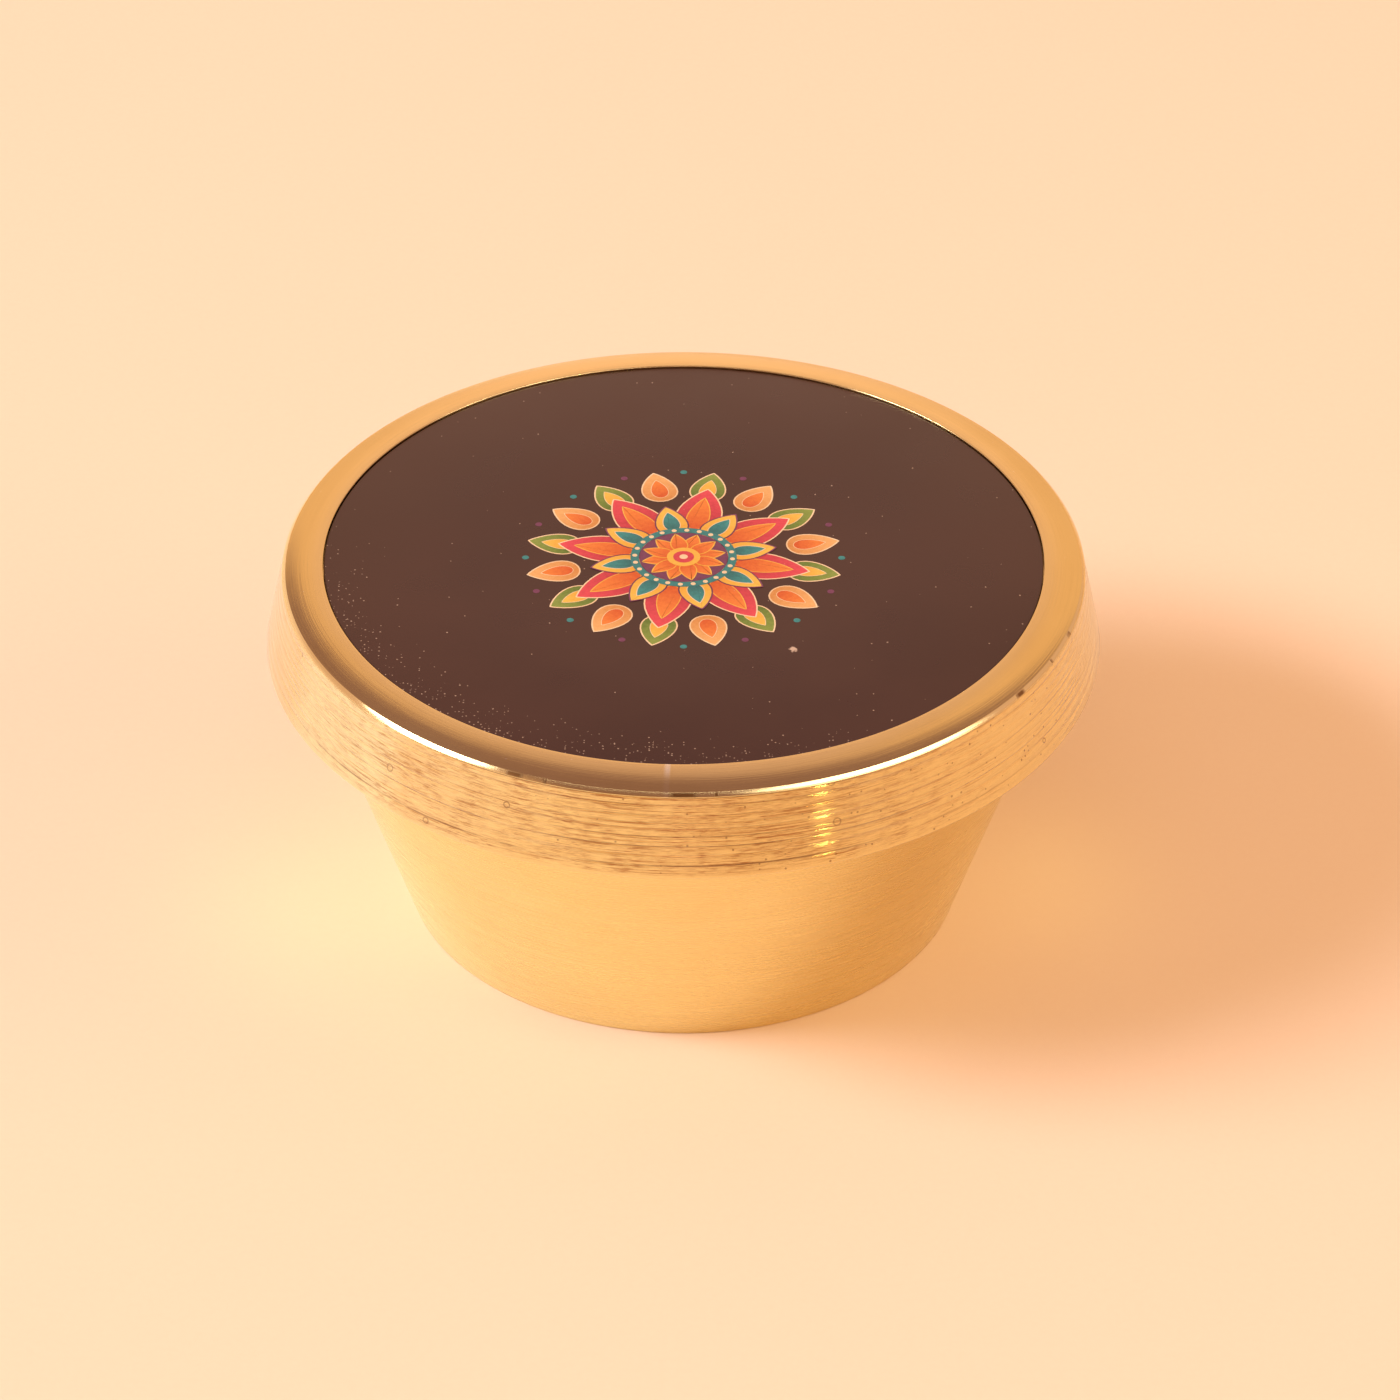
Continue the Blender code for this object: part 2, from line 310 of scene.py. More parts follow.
def soft_lamp(name, bearing, rise_angle, distance, size, watts, tint, lean=0.0):
    """An oval lamp; bearing is in degrees to the right of the camera's side, seen from above."""
    data = bpy.data.lights.new(name, "AREA")
    data.shape = "ELLIPSE"
    data.size, data.size_y = size
    data.energy = watts
    data.color = tint
    lamp = bpy.data.objects.new(name, data)
    bpy.context.scene.collection.objects.link(lamp)
    side, up = radians(bearing), radians(rise_angle)
    away = Vector((sin(side) * cos(up), -cos(side) * cos(up), sin(up)))
    lamp.location = LAMP_TARGET + away * distance
    aim = (-away).to_track_quat("-Z", "Y") @ Quaternion((0.0, 0.0, 1.0), radians(lean))
    lamp.rotation_euler = aim.to_euler()
    lamp.visible_camera = False
    print("lamp", name, [round(value, 2) for value in lamp.location])
    return lamp


print("lamps aim at", LAMP_TARGET[:])

# %% Lamps
# Each lamp: its bearing and height angle in degrees, distance, size, watts, tint, and lean if it has one.
LAMPS = {
    "key": (-81.0, 38.0, 3.0, (1.95, 1.05), 110.0, (0.92, 0.90, 1.0), 18.0),
    "fill": (60.0, 44.0, 1.4, (1.60, 0.65), 16.0, (1.0, 0.92, 0.84), -20.0),
    "glow": (80.0, 25.0, 1.6, (1.0, 1.0), 7.5, (1.0, 0.58, 0.33)),
    "strip": (35.0, 5.2, 1.4, (0.010, 0.26), 0.30, (1.0, 0.85, 0.34)),
    "thrown_right": (86.0, -14.0, 0.056, (0.016, 0.03), 0.0004, (1.0, 0.86, 0.38)),
    "thrown_left": (-78.0, -8.0, 0.058, (0.02, 0.03), 0.0006, (1.0, 1.0, 0.42)),
    "brow": (-6.0, 67.0, 1.4, (1.20, 0.09), 1.0, (1.0, 0.95, 0.90)),
}
lamps = {name: soft_lamp(name, *setting) for name, setting in LAMPS.items()}
for name in ("key", "fill"):
    soften(lamps[name].data)
for name in ("fill", "strip"):
    lamps[name].visible_diffuse = False
for name in ("glow", "thrown_right", "thrown_left"):
    lamps[name].visible_glossy = False
for name in ("thrown_right", "thrown_left"):
    lamps[name].rotation_euler = (0.0, 0.0, 0.0)

# %% [markdown]
# ## Turning
# Bowl, lid, disc and cups are all lathe work: half of a cross section, spun round an axis. Each corner
# of the section can have a radius, because a real turned edge is always broken. While the section is
# spun, every point remembers how far along the section it lies. With the direction round the axis this
# makes a coordinate that follows the tool, and the brushed finishes below are drawn on it.

# %% Sections
ARC_STEPS = 6


def rounded(corners, arc_steps=ARC_STEPS):
    """Turn corners (radius, height, fillet) into points, with a tangent arc where there is a fillet."""
    points = []
    for index, (radius, level, fillet) in enumerate(corners):
        corner = Vector((radius, level))
        if fillet == 0:
            points.append(corner)
            continue
        back = (Vector(corners[index - 1][:2]) - corner).normalized()
        ahead = (Vector(corners[index + 1][:2]) - corner).normalized()
        half_angle = back.angle(ahead) / 2
        centre = corner + (back + ahead).normalized() * fillet / sin(half_angle)
        first = corner + back * fillet / tan(half_angle) - centre
        last = corner + ahead * fillet / tan(half_angle) - centre
        sweep = first.angle_signed(last)
        for step in range(arc_steps + 1):
            angle = atan2(first.y, first.x) - sweep * step / arc_steps
            points.append(centre + fillet * Vector((cos(angle), sin(angle))))
    return points


print("a broken edge takes", ARC_STEPS + 1, "points")

# %% Spinning
MERGE_DISTANCE = 1e-6


def spin_round(shape, points, steps):
    """Join points into a line, spin it a full turn about the Z axis and close its seam and poles."""
    lines = [shape.edges.new(pair) for pair in zip(points, points[1:])]
    bmesh.ops.spin(
        shape, geom=points + lines, cent=(0.0, 0.0, 0.0), axis=(0.0, 0.0, 1.0),
        angle=2 * pi, steps=steps, use_merge=True,
    )
    bmesh.ops.remove_doubles(shape, verts=shape.verts, dist=MERGE_DISTANCE)


def spin_section(section, steps, centre=(0.0, 0.0), stains=None, bands=None):
    """Spin a section that starts and ends on the axis, and write the tool's coordinates on its points."""
    shape = bmesh.new()
    along = shape.verts.layers.float.new("along")
    groove = shape.verts.layers.float.new("groove")
    band = shape.verts.layers.float.new("band")
    points = []
    travelled = 0.0
    for index, point in enumerate(section):
        if index:
            travelled += (point - section[index - 1]).length
        vert = shape.verts.new((max(point.x, 0.0), 0.0, point.y))
        vert[along] = travelled
        vert[groove] = stains[index] if stains else 0.0
        vert[band] = bands[index] if bands else 0.0
        points.append(vert)
    spin_round(shape, points, steps)
    bmesh.ops.recalc_face_normals(shape, faces=shape.faces)
    lathe = shape.verts.layers.float_vector.new("lathe")
    for vert in shape.verts:
        angle = atan2(vert.co.y, vert.co.x)
        vert[lathe] = Vector((cos(angle), sin(angle), vert[along]))
    bmesh.ops.translate(shape, verts=shape.verts, vec=(*centre, 0.0))
    return shape


print("points closer than", MERGE_DISTANCE, "m become one")

# %% Finished pieces
SHARP_ANGLE = 32.0


def finish_piece(name, shape, body, node, materials, sharp=SHARP_ANGLE):
    """Put a bmesh into a named object that rides on a body and stands for a node of the model."""
    mesh = bpy.data.meshes.new(name)
    shape.to_mesh(mesh)
    shape.free()
    for material in materials:
        mesh.materials.append(material)
    mesh.shade_smooth()
    mesh.set_sharp_from_angle(angle=radians(sharp))
    piece = bpy.data.objects.new(name, mesh)
    bpy.context.scene.collection.objects.link(piece)
    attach(piece, body)
    if node:
        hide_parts(node)
    print(name, len(mesh.polygons), "faces")
    return piece


print("edges sharper than", SHARP_ANGLE, "degrees stay crisp")

# %% [markdown]
# ## Marks of the lathe
# A turning tool leaves a spiral so fine that it reads as rings. Noise stretched a long way round the axis
# and squeezed along the section looks the same. It is kept in a node group, because the bowl, lid, cups
# and spoon each need it at their own scale. Other groups share the slow brown tarnish of handled brass,
# the specks that lie on disc and lid, and the small rings of pores that the tool cut open.


# %% Lines and tarnish
def new_group(name, inputs, output):
    """A shader group with named values as inputs and one value as output."""
    group = bpy.data.node_groups.new(name, "ShaderNodeTree")
    for label, default in inputs.items():
        kind = "NodeSocketFloat" if isinstance(default, float) else "NodeSocketVector"
        socket = group.interface.new_socket(label, in_out="INPUT", socket_type=kind)
        socket.default_value = default
    group.interface.new_socket(output, in_out="OUTPUT", socket_type="NodeSocketFloat")
    start = group.nodes.new("NodeGroupInput")
    end = group.nodes.new("NodeGroupOutput")
    return group, start, end


def place_group(tree, group, **inputs):
    node = tree.nodes.new("ShaderNodeGroup")
    node.node_tree = group
    for name, value in inputs.items():
        feed(tree, node.inputs[name], value)
    return node.outputs[0]


def make_turning_lines():
    group, start, end = new_group("turning_lines", {"Around": 3.0, "Across": 3000.0}, "Lines")
    lathe = add_node(group, "ShaderNodeAttribute", attribute_name="lathe").outputs["Vector"]
    around, across = start.outputs["Around"], start.outputs["Across"]
    scale = add_node(group, "ShaderNodeCombineXYZ", {"X": around, "Y": around, "Z": across}).outputs[0]
    place = vector_math(group, "MULTIPLY", lathe, scale)
    lines = spread(group, noise(group, place, scale=1.0, detail=3.0, roughness=0.6), 0.28, 0.72)
    group.links.new(lines, end.inputs["Lines"])
    return group


def make_tarnish():
    group, start, end = new_group("tarnish", {"Scale": 60.0, "Low": 0.45, "High": 0.75}, "Mask")
    cloud = noise(group, object_place(group), start.outputs["Scale"], detail=5.0, roughness=0.6)
    mask = spread(group, cloud, start.outputs["Low"], start.outputs["High"])
    group.links.new(mask, end.inputs["Mask"])
    return group


turning_lines = make_turning_lines()
tarnish = make_tarnish()
print("groups", turning_lines.name, tarnish.name)

# %% Specks and pores
SMALLEST_SHARE = 0.35
PORE_LINE = (0.006, 0.020)


def scattered(group, start):
    """Cells over a flat place: whether each one is chosen, its own radius, and the distance inside it."""
    inputs = {"Vector": start.outputs["Place"], "Scale": start.outputs["Scale"]}
    cells = add_node(group, "ShaderNodeTexVoronoi", inputs, voronoi_dimensions="2D")
    draw = split(group, cells.outputs["Color"])
    chosen = calculate(group, "LESS_THAN", draw["X"], start.outputs["Cover"])
    share = spread(group, draw["Y"], 0.0, 1.0, SMALLEST_SHARE, 1.0)
    radius = product(group, share, start.outputs["Size"])
    return chosen, radius, cells.outputs["Distance"]


def make_specks():
    inputs = {"Place": (0.0, 0.0, 0.0), "Scale": 900.0, "Cover": 0.1, "Size": 0.2}
    group, start, end = new_group("specks", inputs, "Mask")
    chosen, radius, distance = scattered(group, start)
    inside = calculate(group, "LESS_THAN", distance, radius)
    group.links.new(product(group, chosen, inside), end.inputs["Mask"])
    return group


def make_pores():
    inputs = {"Place": (0.0, 0.0, 0.0), "Scale": 150.0, "Cover": 0.1, "Size": 0.1}
    group, start, end = new_group("pores", inputs, "Mask")
    chosen, radius, distance = scattered(group, start)
    outside = calculate(group, "SUBTRACT", distance, radius)
    inside = calculate(group, "SUBTRACT", radius, distance)
    edge = falling(group, calculate(group, "ADD", outside, inside), *PORE_LINE)
    group.links.new(product(group, chosen, edge), end.inputs["Mask"])
    return group


specks = make_specks()
pores = make_pores()
print("groups", specks.name, pores.name)

# %% [markdown]
# ## Brass
# All the metal is the same yellow brass, but each piece was finished differently. One function makes the
# plain turned finish: bright metal with a slow drift to a browner tone, rings in the roughness, and a
# very shallow bump. Scratches round the axis scatter light across them, so the highlight is stretched
# along the section: that is an anisotropy turned by a quarter.

# %% Turned brass
BRASS_BRIGHT = colour(0.90, 0.72, 0.355)
BRASS_DEEP = colour(0.81, 0.61, 0.26)
QUARTER_TURN = 0.25
HAZE_ROUGHNESS = 0.5
FINE_AROUND = 1.5
BROAD_AROUND = 1.2
BROAD_SHARE = 0.12


def set_metal(shader, anisotropy, haze):
    """Turned brass: a highlight drawn out across the tool's rings, under the pale haze of handled metal."""
    shader.inputs["Metallic"].default_value = 1.0
    shader.inputs["Anisotropic"].default_value = anisotropy
    shader.inputs["Anisotropic Rotation"].default_value = QUARTER_TURN
    shader.inputs["Sheen Weight"].default_value = haze
    shader.inputs["Sheen Roughness"].default_value = HAZE_ROUGHNESS


def ripple(tree, shader, height, depth, strength=1.0):
    bump = add_node(tree, "ShaderNodeBump", {"Height": height, "Distance": depth, "Strength": strength})
    feed(tree, shader.inputs["Normal"], bump.outputs["Normal"])


def turned_brass(name, across, ring_depth, smoothest, roughest, anisotropy, haze=0.0):
    material, tree, shader = new_material(name)
    fine = place_group(tree, turning_lines, Around=FINE_AROUND, Across=across)
    broad = place_group(tree, turning_lines, Around=BROAD_AROUND, Across=across * BROAD_SHARE)
    brown = place_group(tree, tarnish, Scale=55.0, Low=0.48, High=0.80)
    mixed = weigh(tree, (broad, 0.25), (fine, 0.20), (brown, 0.40))
    feed(tree, shader.inputs["Base Color"], mix_colours(tree, mixed, BRASS_BRIGHT, BRASS_DEEP))
    feed(tree, shader.inputs["Roughness"], spread(tree, fine, 0.0, 1.0, smoothest, roughest))
    ripple(tree, shader, fine, ring_depth)
    set_metal(shader, anisotropy, haze)
    return material


bowl_brass = turned_brass(
    "bowl_satin_brass", across=5200.0, ring_depth=0.000004,
    smoothest=0.23, roughest=0.32, anisotropy=0.45, haze=0.16,
)
cup_brass = turned_brass(
    "cup_spun_brass", across=4000.0, ring_depth=0.000003,
    smoothest=0.20, roughest=0.30, anisotropy=0.4,
)
print("brass finishes", bowl_brass.name, cup_brass.name)

# %% [markdown]
# ## Bowl
# The bowl is one heavy turning: a straight cone that leans out to a shoulder, then a short upright neck
# for the lid. Its base is relieved so that it stands on a ring. A cone primitive with a Solidify would
# give the wall, but the neck, the fillet and the foot all belong to one section, so it is spun whole.

# %% Bowl
BASE_RADIUS = 0.0404
WALL_TAPER = radians(18.35)
SHOULDER_HEIGHT = 0.0413
NECK_STEP = 0.0008
BOWL_WALL = 0.0030
BOWL_FLOOR = 0.0040
FLOOR_FILLET = 0.0030
FOOT_RING_WIDTH = 0.0060
FOOT_RECESS = 0.0008
BOWL_EDGE = 0.0003
RIM_EDGE = 0.0007
LARGE_STEPS = 320

slope = tan(WALL_TAPER)
rim_height = bowl_high.z
shoulder_radius = BASE_RADIUS + SHOULDER_HEIGHT * slope
neck_radius = shoulder_radius - NECK_STEP
inner_base_radius = BASE_RADIUS - BOWL_WALL / cos(WALL_TAPER)
inner_neck_radius = inner_base_radius + SHOULDER_HEIGHT * slope
foot_radius = BASE_RADIUS - FOOT_RING_WIDTH

bowl_section = rounded([
    (0.0, BOWL_FLOOR, 0.0),
    (inner_base_radius + BOWL_FLOOR * slope, BOWL_FLOOR, FLOOR_FILLET),
    (inner_neck_radius, SHOULDER_HEIGHT, 0.0),
    (inner_neck_radius, rim_height, RIM_EDGE),
    (neck_radius, rim_height, RIM_EDGE),
    (neck_radius, SHOULDER_HEIGHT, 0.0),
    (shoulder_radius, SHOULDER_HEIGHT, BOWL_EDGE),
    (BASE_RADIUS, 0.0, BOWL_EDGE),
    (foot_radius, 0.0, BOWL_EDGE),
    (foot_radius, FOOT_RECESS, 0.0),
    (0.0, FOOT_RECESS, 0.0),
])
bowl_shape = spin_section(bowl_section, LARGE_STEPS)
finish_piece("turned_bowl", bowl_shape, "bowl", "bowl", [bowl_brass])

# %% [markdown]
# ## Lid
# Under the lid a straight bore slips over the bowl's neck. On top, a low crowned ring frames the recess
# for the disc, and the side flares down to the mouth. The grooves are real cuts, because they catch the
# light one by one. A loop walks down the band and sets one slightly crowned land after another, at an
# uneven pitch. The points remember where the band and its grooves are, so that the finish can follow
# them.

# %% Lid sizes
SLIP_CLEARANCE = 0.0003
SEAT_GAP = 0.0003
LID_PLATE = 0.0022
LID_TOP_WALL = 0.0037
RING_WIDTH = 0.0058
RING_DROP = 0.0010

bore_radius = neck_radius + SLIP_CLEARANCE
ceiling_height = rim_height + SEAT_GAP
recess_height = ceiling_height + LID_PLATE
edge_radius = bore_radius + LID_TOP_WALL
recess_radius = edge_radius - RING_WIDTH
mouth_radius = lid_high.x
mouth_height = lid_low.z
top_height = lid_high.z
upper_edge = Vector((edge_radius, top_height - RING_DROP))
lower_edge = Vector((mouth_radius, mouth_height))
print("lid edge radius", round(edge_radius, 5), "recess radius", round(recess_radius, 5))

# %% Grooves
GROOVE_SEED = 11
BAND_TOP_PLAIN = 0.00054
BAND_FOOT_PLAIN = 0.0010
LAND_PITCH = 0.00112
LAND_UNEVEN = (0.55, 1.45)
LAND_CROWN = 0.000055
LAND_POINTS = (0.0, 0.12, 0.30, 0.50, 0.70, 0.88)
FIRST_STAIN = 1.2
LAND_STAIN = (-0.5, 1.1)


def band_lands(upper, lower, draw):
    """Points down the band as (radius, height, stain), from under its polished edge to its plain foot."""
    down = (lower - upper).normalized()
    outward = Vector((-down.y, down.x))
    reach = (lower - upper).length - BAND_FOOT_PLAIN
    travelled = BAND_TOP_PLAIN
    stain = FIRST_STAIN
    marks = []
    while travelled < reach:
        uneven = draw.uniform(*LAND_UNEVEN)
        pitch = LAND_PITCH * uneven
        crown = LAND_CROWN * uneven
        for part in LAND_POINTS:
            sink = crown * (2 * part - 1) ** 2
            point = upper + down * (travelled + pitch * part) - outward * sink
            marks.append((point.x, point.y, stain if part == 0.0 else 0.0))
        travelled += pitch
        stain = max(draw.uniform(*LAND_STAIN), 0.0)
    return marks


lands = band_lands(upper_edge, lower_edge, random.Random(GROOVE_SEED))
print("lands on the band", len(lands) // len(LAND_POINTS))

# %% Lid section
MOUTH_EDGE = 0.0002
LID_LEAD_IN = 0.0008
BEVEL_REACH = 0.00042
BEVEL_EDGE = 0.00014
BEVEL_CROWN = 0.000036
BEVEL_ROUND = 0.0028
RING_CREST = 0.0022
RING_TILT = radians(19.5)
RING_ROUND = 0.0151
RING_ARC_STEPS = 12
RECESS_EDGE = 0.00012
PLAIN_FOOT = 0.6

crest = Vector((recess_radius + RING_CREST, top_height))
bevel_top = upper_edge + (crest - upper_edge).normalized() * BEVEL_REACH
bevel_foot = upper_edge + (lower_edge - upper_edge).normalized() * BEVEL_REACH
crown_drop = top_height - bevel_top.y
bevel_slope = (bevel_foot - bevel_top).normalized()
bevel_middle = (bevel_top + bevel_foot) / 2 + Vector((-bevel_slope.y, bevel_slope.x)) * BEVEL_CROWN
ring_part = rounded([
    (0.0, recess_height, 0.0),
    (recess_radius, recess_height, 0.0),
    (recess_radius, top_height, RECESS_EDGE),
    (bevel_top.x - crown_drop / tan(RING_TILT), top_height, RING_ROUND),
    (*bevel_top, BEVEL_EDGE),
    (*bevel_middle, BEVEL_ROUND),
    (*bevel_foot, BEVEL_EDGE),
    (*lower_edge, 0.0),
], RING_ARC_STEPS)[:-1]
bore_part = rounded([
    (*upper_edge, 0.0),
    (*lower_edge, MOUTH_EDGE),
    (bore_radius + LID_LEAD_IN, mouth_height, 0.0),
    (bore_radius, mouth_height + LID_LEAD_IN, 0.0),
    (bore_radius, ceiling_height, 0.0),
    (0.0, ceiling_height, 0.0),
])[1:]
lid_section = ring_part + [Vector((radius, level)) for radius, level, _ in lands] + bore_part
lid_stains = [0.0] * len(ring_part) + [stain for _, _, stain in lands] + [0.0] * len(bore_part)
foot_bands = [PLAIN_FOOT if point.x > edge_radius else 0.0 for point in bore_part]
lid_bands = [0.0] * len(ring_part) + [1.0] * len(lands) + foot_bands
edge_along = sum((after - before).length for before, after in zip(ring_part, ring_part[1:]))
print("the band starts", round(edge_along, 4), "m along the section")

# %% [markdown]
# ## Lid finish
# The lid has two finishes. Its ring and bevel are polished, with bits of lint on top, a few painted
# glints that run out from the recess, and dark nicks where the edge was knocked. The band round its side
# was left as the tool cut it, and it has been handled ever since. Dark tarnish sits in the grooves and
# breaks off where a thumb has rubbed it clean, and a short grain like that of wood lies on the lands. On
# its left the band carries a painted reflection that makes it paler, and a few thin painted highlights
# run down it. The front is more marked than the sides, and small specks and cut pores are scattered over it.

# %% Lid helpers
SOLID_SHARE = 0.6


def mark(tree, name):
    return add_node(tree, "ShaderNodeAttribute", attribute_name=name).outputs["Fac"]


def unrolled(tree):
    """The lid's side laid out flat, the way along its section, and the direction round it."""
    turned = add_node(tree, "ShaderNodeAttribute", attribute_name="lathe").outputs["Vector"]
    part = split(tree, turned)
    angle = calculate(tree, "ARCTAN2", part["Y"], part["X"], clamp=False)
    travel = calculate(tree, "MULTIPLY", angle, mouth_radius, clamp=False)
    place = add_node(tree, "ShaderNodeCombineXYZ", {"X": travel, "Y": part["Z"]}).outputs[0]
    return place, part["Z"], turned


def marks_at(tree, turned, bearings):
    """A mask of short marks round the lid, each with its bearing and half its width in degrees."""
    total = 0.0
    for bearing, half_width in bearings:
        towards = Vector((sin(radians(bearing)), -cos(radians(bearing)), 0.0))
        facing = vector_math(tree, "DOT_PRODUCT", turned, towards)
        found = spread(tree, facing, cos(radians(half_width)), cos(radians(half_width * SOLID_SHARE)))
        total = calculate(tree, "ADD", total, found)
    return total


print("the lid's side unrolls to", round(2 * pi * mouth_radius, 3), "m")

# %% Polished ring
LID_LINES = {"Around": 2.0, "Across": 6500.0}
LID_TARNISH = {"Scale": 70.0, "Low": 0.45, "High": 0.85}
STAIN_BROWN = colour(0.20, 0.080, 0.020)
# The pale of the real lint specks, and of the painted glints on the ring.
LINT_AND_GLINT_PALE = colour(1.0, 0.95, 0.78)
NICKS = (
    (-23.8, 1.5), (-19.5, 0.6), (0.0, 2.2), (4.5, 0.6),
    (55.0, 1.2), (64.5, 0.6), (71.5, 0.7), (150.0, 0.9),
)
NICK_REACH = (0.0002, 0.0004)
NICK_STRENGTH = 0.9
# Painted glints: pale streaks on the ring, each a bearing and half its width, fading out from the recess.
RING_GLINTS = ((-2.4, 0.80), (38.0, 0.22), (-47.0, 0.20))
GLINT_FADE = (0.0012, 0.0032)
GLINT_STRENGTH = (0.9, 0.15)
RING_ROUGHNESS = 0.12
RING_LINE_DEPTH = 0.000007
RING_ANISOTROPY = 0.8
bevel_along = edge_along - (bevel_foot - bevel_top).length / 2
recess_along = recess_radius + top_height - recess_height


def edge_nicks(tree, along, turned):
    """Dark dashes where the bevel has been knocked."""
    off_bevel = calculate(tree, "ABSOLUTE", calculate(tree, "SUBTRACT", along, bevel_along, clamp=False))
    near = falling(tree, off_bevel, *NICK_REACH)
    return product(tree, marks_at(tree, turned, NICKS), near, NICK_STRENGTH)


def ring_brass():
    material, tree, shader = new_material("ring_polished_brass")
    place, along, turned = unrolled(tree)
    fine = place_group(tree, turning_lines, **LID_LINES)
    brown = place_group(tree, tarnish, **LID_TARNISH)
    base = mix_colours(tree, weigh(tree, (brown, 0.40), (fine, 0.35)), BRASS_BRIGHT, BRASS_DEEP)
    # Painted glints, strongest beside the recess, share their pale colour with the lint.
    outward = calculate(tree, "SUBTRACT", along, recess_along, clamp=False)
    fade = spread(tree, outward, *GLINT_FADE, *GLINT_STRENGTH)
    glinting = product(tree, marks_at(tree, turned, RING_GLINTS), fade)
    lint = place_group(tree, specks, Place=place, Scale=420.0, Cover=0.05, Size=0.05)
    base = mix_colours(tree, weigh(tree, (glinting, 1.0), (lint, 0.6)), base, LINT_AND_GLINT_PALE)
    knocked = edge_nicks(tree, along, turned)
    feed(tree, shader.inputs["Base Color"], mix_colours(tree, knocked, base, STAIN_BROWN))
    rough = weigh(tree, (RING_ROUGHNESS, 1.0), (fine, 0.06), (knocked, 0.2))
    feed(tree, shader.inputs["Roughness"], rough)
    ripple(tree, shader, fine, RING_LINE_DEPTH)
    set_metal(shader, RING_ANISOTROPY, haze=0.0)
    return material


print("nicks", len(NICKS), "painted glints", len(RING_GLINTS))

# %% Marks on the band
# Each kind of mark: how often it breaks round the lid, how close it lies along it, and what shows of it.
LONG_LINES = (2.2, 6800.0, 0.56, 0.80)
LINE_BREAKS = (11.0, 1200.0, 0.35, 0.65)
SHORT_GRAIN = (34.0, 11500.0, 0.42, 0.76)
WORN_PLACES = (7.0, 900.0, 0.15, 0.60)
PATCH_SCALE = 260.0
PATCH_SPREAD = (0.36, 0.62, 0.30, 1.0)
SPECK_SIDE = Vector((0.80, -0.60, 0.0))
SPECK_SPREAD = (0.2, 1.0, 0.005, 0.10)


def tool_marks(tree, around, across, low, high):
    return spread(tree, place_group(tree, turning_lines, Around=around, Across=across), low, high)


def band_streaks(tree, place, breaks):
    """Long lines that break here and there, and patches of short grain."""
    lines = product(tree, tool_marks(tree, *LONG_LINES), breaks)
    patch = spread(tree, noise(tree, place, PATCH_SCALE, detail=3.0), *PATCH_SPREAD)
    grain = product(tree, tool_marks(tree, *SHORT_GRAIN), patch)
    return weigh(tree, (lines, 0.85), (grain, 0.85))


def band_dirt(tree, place, turned, grainy):
    """Tarnish left in the grooves, with specks and cut pores beside it."""
    stain = product(tree, mark(tree, "groove"), tool_marks(tree, *WORN_PLACES), grainy)
    speckled = spread(tree, vector_math(tree, "DOT_PRODUCT", turned, SPECK_SIDE), *SPECK_SPREAD)
    spots = place_group(tree, specks, Place=place, Scale=1100.0, Cover=speckled, Size=0.19)
    rings = place_group(tree, pores, Place=place, Scale=150.0, Cover=0.18, Size=0.095)
    return weigh(tree, (stain, 0.9), (spots, 0.60), (rings, 0.60))


print("the grain breaks", round(SHORT_GRAIN[0] / LONG_LINES[0]), "times as often as the long lines")

# %% Brushed band
STREAK_BROWN = colour(0.39, 0.165, 0.038)
GRAIN_SIDE = Vector((-0.174, -0.985, 0.0))
GRAIN_SPREAD = (0.50, 0.90, 0.25, 1.0)
# Painted reflection: the band is painted paler round one bearing on its left, where it mirrors lit paper.
REFLECTION_PALE = colour(0.88, 0.78, 0.41)
REFLECTING_SIDE = ((-55.0, 14.0),)
# Painted highlights: thin pale streaks down the band, each a bearing and half its width.
HIGHLIGHT_STREAK_PALE = colour(1.0, 0.83, 0.46)
HIGHLIGHT_STREAK_STRENGTH = 0.7
HIGHLIGHT_STREAKS = ((-7.0, 0.22), (12.6, 0.28), (33.0, 0.25), (-29.0, 0.18))
BAND_DEPTH = 0.75
BAND_ROUGHNESS = 0.115
BAND_LINE_DEPTH = 0.000004
BAND_ANISOTROPY = 0.98
BAND_HAZE = 0.7


def band_brass():
    material, tree, shader = new_material("band_brushed_brass")
    place, _, turned = unrolled(tree)
    fine = place_group(tree, turning_lines, **LID_LINES)
    brown = place_group(tree, tarnish, **LID_TARNISH)
    breaks = tool_marks(tree, *LINE_BREAKS)
    grainy = spread(tree, vector_math(tree, "DOT_PRODUCT", turned, GRAIN_SIDE), *GRAIN_SPREAD)
    base = mix_colours(tree, weigh(tree, (brown, 0.4), (1.0, BAND_DEPTH)), BRASS_BRIGHT, BRASS_DEEP)
    # The painted reflection, paler round the left side.
    base = mix_colours(tree, marks_at(tree, turned, REFLECTING_SIDE), base, REFLECTION_PALE)
    grained = product(tree, grainy, spread(tree, mark(tree, "band"), PLAIN_FOOT, 1.0))
    streaks = product(tree, band_streaks(tree, place, breaks), grained)
    base = mix_colours(tree, streaks, base, STREAK_BROWN)
    # Painted highlight streaks down the band, broken where the long lines break.
    unbroken = calculate(tree, "SUBTRACT", HIGHLIGHT_STREAK_STRENGTH, breaks)
    base = mix_colours(tree, product(tree, marks_at(tree, turned, HIGHLIGHT_STREAKS), unbroken), base, HIGHLIGHT_STREAK_PALE)
    dark = band_dirt(tree, place, turned, grainy)
    feed(tree, shader.inputs["Base Color"], mix_colours(tree, dark, base, STAIN_BROWN))
    rough = weigh(tree, (BAND_ROUGHNESS, 1.0), (fine, 0.03), (dark, 0.15))
    feed(tree, shader.inputs["Roughness"], rough)
    ripple(tree, shader, fine, BAND_LINE_DEPTH)
    set_metal(shader, BAND_ANISOTROPY, BAND_HAZE)
    return material


print("painted highlights", len(HIGHLIGHT_STREAKS), "painted reflections", len(REFLECTING_SIDE))

